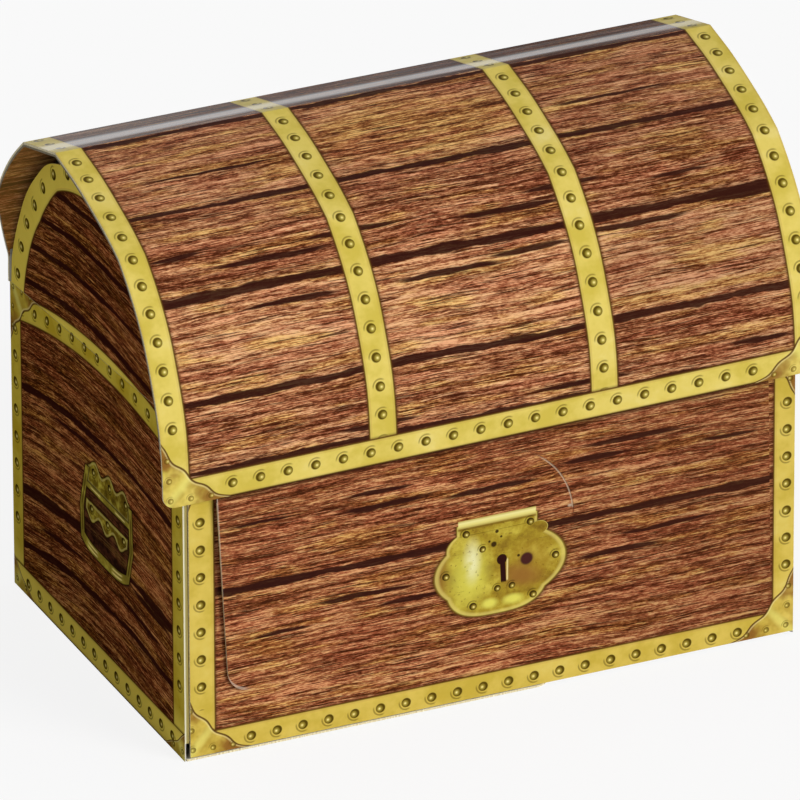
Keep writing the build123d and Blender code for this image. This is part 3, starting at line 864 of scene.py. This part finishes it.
def sheet_side(name, cut):
    """The inside or the cut edge of the lid's sheet."""
    finish = Finish(name)
    spot = finish.join(*finish.laid_out())
    colour = cut_edge(finish, spot, 11.0) if cut else paper(finish, spot, 12.0)
    return board_surface(finish, colour, spot, 13.0, 0.55)


# The lid's section, front edge to back crease, in shares of its reach and rise
FRONT_SHARES = [
    (-1, -.110), (-.990, .008), (-.968, .135), (-.926, .259), (-.8705, .382), (-.811, .495), (-.729, .606),
    (-.6375, .701), (-.538, .788),
]
CROWN_SHARES = [
    (-.538, .788), (-.410, .8455), (-.285, .889), (-.165, .927), (-.034, .962), (.0946, .986), (.1706, 1),
]
RIDGE_SHARES = [(.1706, 1), (.5447, .897)]
BACK_SHARES = [
    (.5447, .897), (.668, .788), (.791, .6475), (.890, .485), (.958, .307), (.993, .168), (1, .060),
]
FOOT_LEVEL = 50.0
EDGE_ROWS_START = 78.0


def section_point(share):
    across, up = share
    return across * (FRONT_REACH if across < 0 else HALF_DEPTH), HINGE_HEIGHT + up * DOME_RISE


def smooth_run(shares, count=4):
    """A natural cubic curve through the section's points, with count places between each pair."""
    points = np.array([section_point(share) for share in shares], float)
    steps = np.hypot(*np.diff(points, axis=0).T)
    size = len(points)
    system = np.zeros((size, size))
    wanted = np.zeros((size, 2))
    system[0, 0] = system[-1, -1] = 1.0
    for index in range(1, size - 1):
        before, after = steps[index - 1], steps[index]
        here, last, following = points[index], points[index - 1], points[index + 1]
        system[index, index - 1:index + 2] = (before, 2 * (before + after), after)
        wanted[index] = 6 * ((following - here) / after - (here - last) / before)
    bend = np.linalg.solve(system, wanted)
    line = []
    for index in range(size - 1):
        step = steps[index]
        for share in np.arange(count) / count:
            far, near = share * step, (1 - share) * step
            line.append(
                bend[index] * near ** 3 / (6 * step) + bend[index + 1] * far ** 3 / (6 * step)
                + (points[index] / step - bend[index] * step / 6) * near
                + (points[index + 1] / step - bend[index + 1] * step / 6) * far
            )
    line.append(points[-1])
    return np.array(line)


def arc_length(line):
    return np.concatenate([[0.0], np.cumsum(np.hypot(*np.diff(line, axis=0).T))])


front_line = np.concatenate([
    [(-FRONT_REACH, FOOT_LEVEL)], smooth_run(FRONT_SHARES)[:-1], smooth_run(CROWN_SHARES),
])[::-1]
top_line = np.array([section_point(share) for share in RIDGE_SHARES])
back_line = np.concatenate([smooth_run(BACK_SHARES), [(HALF_DEPTH, HINGE_HEIGHT + CREASE_GAP)]])
FRONT_ARC = arc_length(front_line)
LID_FOOT = float(FRONT_ARC[-1]) - (LID_EDGE_HEIGHT - FOOT_LEVEL)


def columns_across():
    """Places across the lid, close together round its corners."""
    turn = [LID_CORNER * (1 - math.cos(math.radians(angle))) for angle in range(0, 91, 15)]
    left = [-LID_HALF + step for step in turn]
    middle = list(np.linspace(-LID_HALF + LID_CORNER, LID_HALF - LID_CORNER, 32))[1:-1]
    return left + middle + [-place for place in reversed(left)]


def sheet_piece(name, line, start, row_levels, materials, outward, half_at=None, end_at=None):
    """One panel of the lid's sheet: both faces and the cut edge all round, laid out in a flat map.

    Start is where the line begins on the flat sheet. Half_at gives the half width at a
    height, and end_at moves a row's points to the sheet's edge.
    """
    arc = arc_length(line)
    tangent = np.gradient(line, arc, axis=0)
    tangent /= np.linalg.norm(tangent, axis=1)[:, None]
    turned = np.stack([-tangent[:, 1], tangent[:, 0]], 1) * outward
    columns = columns_across()
    rows, wide = len(row_levels), len(columns)
    vertices, flat = [], []
    for depth in (0.0, BOARD):
        for level in row_levels:
            half = half_at(np.interp(level, arc, line[:, 1])) if half_at else LID_HALF
            for column in columns:
                x = column / LID_HALF * half if half_at else column
                here = end_at(x, level) if end_at else level
                y, z = (
                    np.interp(here, arc, line[:, axis]) - depth * np.interp(here, arc, turned[:, axis])
                    for axis in (0, 1)
                )
                vertices.append((x * MM, y * MM, z * MM))
                flat.append((x, start + here))
    faces, slots = [], []

    def at(layer, row, column):
        return layer * rows * wide + row * wide + column

    def rim(near, far, flip):
        """A cut edge's face between two points of the outer face and those under them."""
        ring = (at(0, *near), at(1, *near), at(1, *far), at(0, *far))
        faces.append(ring[::-1] if flip else ring)
        slots.append(2)

    for row in range(rows - 1):
        for column in range(wide - 1):
            ring = ((row, column), (row + 1, column), (row + 1, column + 1), (row, column + 1))
            outer, inner = [at(0, *corner) for corner in ring], [at(1, *corner) for corner in ring]
            faces += [outer, inner[:1] + inner[:0:-1]]
            slots += [0, 1]
        rim((row, 0), (row + 1, 0), False)
        rim((row, wide - 1), (row + 1, wide - 1), True)
    for row, flip in ((0, True), (rows - 1, False)):
        for column in range(wide - 1):
            rim((row, column), (row, column + 1), flip)
    mesh = bpy.data.meshes.new(name)
    mesh.from_pydata(vertices, [], faces)
    layout = mesh.uv_layers.new(name="sheet")
    for loop in mesh.loops:
        layout.data[loop.index].uv = flat[loop.vertex_index]
    for polygon, slot_index in zip(mesh.polygons, slots):
        polygon.material_index = slot_index
        polygon.use_smooth = True
    for material in materials:
        mesh.materials.append(material)
    mesh.update()
    mesh.set_sharp_from_angle(angle=SHARP_TURN)
    return placed(name, mesh)


def front_end(x, level):
    """Draws the last rows in to the lid's sloping edge and rounded corners."""
    inset = max(LID_CORNER - (LID_HALF - abs(x)), 0.0)
    lift = LID_CORNER - math.sqrt(max(LID_CORNER ** 2 - inset ** 2, 0.0))
    edge = LID_FOOT - x * LID_EDGE_SLOPE - lift
    if level <= EDGE_ROWS_START:
        return level
    share = (level - EDGE_ROWS_START) / (LID_FOOT - EDGE_ROWS_START)
    return EDGE_ROWS_START + share * (edge - EDGE_ROWS_START)


def back_half(z):
    """The back panel's half width, narrower at the hinge."""
    if z <= NECK_TOP:
        return NECK_HALF
    return min(LID_HALF, NECK_HALF + (z - NECK_TOP) / (FLARE_TOP - NECK_TOP) * (LID_HALF - NECK_HALF))


LID_PLANKS = [
    (-4.0, 0.5), (24.0, 0.5), (27.2, 0.46), (29.0, 0.4), (47.0, 0.4), (50.0, 0.5),
    (55.0, 0.64), (70.0, 0.66), (72.4, 0.5), (74.0, 0.42), (104.0, 0.45),
]
LID_LONG = [(0.8, 0.3), (27.0, 0.45), (49.4, 0.95), (72.4, 0.45), (88.2, 0.5)]
LID_SHORT = [
    (-46.0, 43.5, 18.0, 0.6), (-68.0, 39.5, 8.0, 0.35), (-26.0, 41.0, 15.0, 0.55), (12.0, 43.3, 16.0, 0.65),
    (26.0, 40.0, 12.0, 0.5), (54.0, 42.4, 9.0, 0.3), (-44.0, 54.0, 14.0, 0.55), (-6.0, 54.6, 16.0, 0.5),
    (14.0, 53.2, 12.0, 0.5), (40.0, 52.2, 16.0, 0.6), (68.0, 50.8, 12.0, 0.6), (-28.0, 85.6, 12.0, 0.5),
    (22.0, 85.2, 15.0, 0.45), (66.0, 83.4, 9.0, 0.45), (48.0, 17.4, 18.0, 0.3), (-50.0, 16.6, 18.0, 0.3),
]

# The top panel's planks are printed dark, as painted shade
TOP_PRINT = ([(-22.0, 0.15), (4.0, 0.15)], [(-9.5, 0.45)], [(-40.0, -5.0, 20.0, 0.3)])
BACK_PRINT = (
    [(-80.0, 0.5), (-16.0, 0.5)], [(-30.0, 0.5), (-44.0, 0.6), (-58.0, 0.5)], [(-40.0, -37.0, 20.0, 0.4)],
)

sides = (sheet_side("lid_inside_board", False), sheet_side("lid_cut_edge", True))
front_print = lid_print("lid_front_print", LID_PLANKS, LID_LONG, LID_SHORT, 3.0, has_foot=True)
top_print = lid_print("lid_top_print", *TOP_PRINT, 5.0, glossy=True)
back_print = lid_print("lid_back_print", *BACK_PRINT, 7.0)

edge_rows = np.linspace(EDGE_ROWS_START, LID_FOOT, 8)
front_levels = np.concatenate([FRONT_ARC[FRONT_ARC < EDGE_ROWS_START], edge_rows])
top_reach = float(arc_length(top_line)[-1])
back_arc = arc_length(back_line)
lid_front = sheet_piece(
    "lid_front_cover", front_line, 0.0, front_levels, (front_print, *sides), -1, end_at=front_end
)
lid_top = sheet_piece(
    "lid_top_cover", top_line, -top_reach, np.linspace(0, top_reach, 6), (top_print, *sides), 1
)
lid_back = sheet_piece(
    "lid_back_cover", back_line, -top_reach - float(back_arc[-1]), back_arc, (back_print, *sides), 1,
    half_at=back_half,
)

for piece, node in ((lid_front, "lid_front_panel"), (lid_top, "lid_top_panel"), (lid_back, "lid_back_panel")):
    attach(piece, "lid")
    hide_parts(node)

# The lock tab fills its slit, as the pressed board does
tab_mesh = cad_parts["lock_tab"].data.copy()
tab_middle = Vector(TAB_MIDDLE) * MM
for vertex in tab_mesh.vertices:
    vertex.co = tab_middle + (vertex.co - tab_middle) * ((TAB_RADIUS + TAB_SLIT) / TAB_RADIUS)
lock_tab = placed("lock_tab_cover", tab_mesh)
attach(lock_tab, "tab")
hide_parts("lock_tab")

# Finishes of the nodes that keep their own shape
flap_finish = wall_print("closing_flap_print", -1.0, 40.0, FRONT_LONG, FRONT_SHORT, has_lock=True)
left_finish = end_print("left_end_print", -1.0)
right_finish = end_print("right_end_print", 1.0)
hem_finish = hem_print("lid_hem_print")
bottom_finish = bottom_print("bottom_print", 22.0, True)
dust_flap_finish = bottom_print("dust_flap_board", 24.0, False)
node_finishes = {
    "front_wall": wall_print("front_wall_print", -1.0, 40.0, FRONT_LONG, FRONT_SHORT[:4]),
    "closing_flap": flap_finish,
    "left_wall": left_finish,
    "left_arch": left_finish,
    "right_wall": right_finish,
    "right_arch": right_finish,
    "back_wall": wall_print("back_wall_print", 1.0, 55.0, BACK_LONG, FRONT_SHORT[4:10]),
    "corner_glue_flap": glue_flap_print("glue_flap_print"),
    "bottom_left_flap": bottom_finish,
    "bottom_right_flap": bottom_finish,
    "bottom_front_flap": dust_flap_finish,
    "bottom_back_flap": dust_flap_finish,
    "lid_left_hem": hem_finish,
    "lid_right_hem": hem_finish,
}
for held in lock_tab.material_slots:
    held.material = flap_finish
for node, finish in node_finishes.items():
    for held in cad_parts[node].material_slots:
        held.material = finish

# Floor
FLOOR_WHITE = 0.86
FLOOR_HALF = 3.0
floor_finish = Finish("studio_floor")
floor_x, floor_y, _ = floor_finish.place()
floor_patch = floor_finish.noise(floor_finish.join(floor_x, floor_y), 0.004, 0.004, 2.0, 3.0)
floor_tone = floor_finish.ramp(floor_patch, [(0.2, paint(243, 243, 243)), (0.8, paint(247, 247, 247))])
matt = floor_finish.node("ShaderNodeBsdfPrincipled", None, {"Base Color": floor_tone, "Roughness": 0.9})
glow = floor_finish.node("ShaderNodeEmission", None, {"Color": WHITE, "Strength": 1.0})
shaders = {0: floor_finish.backdrop() * FLOOR_WHITE, 1: matt.outputs[0], 2: glow.outputs[0]}
floor_blend = floor_finish.node("ShaderNodeMixShader", None, shaders)
floor_mesh = bpy.data.meshes.new("studio_floor")
floor_corners = [(x * FLOOR_HALF, y * FLOOR_HALF, 0) for x, y in ((-1, -1), (1, -1), (1, 1), (-1, 1))]
floor_mesh.from_pydata(floor_corners, [], [(0, 1, 2, 3)])
floor_mesh.materials.append(floor_finish.show(floor_blend))
floor = placed("studio_floor", floor_mesh)

# Soft studio light
AMBIENT = 0.2
studio = Finish("studio", of_world=True)
dim, white = (
    studio.node("ShaderNodeBackground", None, {"Color": WHITE, "Strength": strength}).outputs[0]
    for strength in (AMBIENT, 1.0)
)
blend = studio.node("ShaderNodeMixShader", None, {0: studio.backdrop(), 1: dim, 2: white})
bpy.context.scene.world = studio.show(blend)


def lamp(name, towards, strength, spread):
    """A broad sun that shines from one direction; its own disc isn't mirrored."""
    data = bpy.data.lights.new(name, "SUN")
    data.energy = strength
    data.angle = math.radians(spread)
    item = placed(name, data)
    item.rotation_euler = Vector(towards).to_track_quat("Z", "Y").to_euler()
    item.visible_glossy = False


lamp("key_light", (0.5, -0.78, 0.42), 2.45, 30)
lamp("top_light", (0.1, 0.1, 1.0), 0.5, 60)

# Camera, as the photograph was taken: turns in radians, the rest in millimetres
YAW, PITCH, ROLL = 0.42382, 0.46118, -0.00322
DISTANCE, PIXELS_PER_MM = 3500.0, 4.43633
FRAME_PIXELS, SENSOR = 800, 36.0
SHIFT_X, SHIFT_Y = 0.3638, 7.35207
TARGET = Vector((0.0, 0.0, 61.0))
backward = Vector((-math.sin(YAW) * math.cos(PITCH), -math.cos(YAW) * math.cos(PITCH), math.sin(PITCH)))
level_right = Vector((math.cos(YAW), -math.sin(YAW), 0.0))
level_up = level_right.cross(-backward)
right = level_right * math.cos(ROLL) + level_up * math.sin(ROLL)
up = level_up * math.cos(ROLL) - level_right * math.sin(ROLL)
stand = TARGET - right * SHIFT_X - up * SHIFT_Y + backward * DISTANCE
camera_data = bpy.data.cameras.new("camera")
camera_data.sensor_width = SENSOR
camera_data.lens = PIXELS_PER_MM * DISTANCE / FRAME_PIXELS * SENSOR
camera_data.clip_start = 0.05
camera_data.clip_end = 20.0
camera = placed("camera", camera_data)
turn = Matrix((right, up, backward)).transposed().to_4x4()
camera.matrix_world = Matrix.Translation(stand * MM) @ turn
bpy.context.scene.camera = camera
bpy.context.scene.view_settings.view_transform = "Standard"
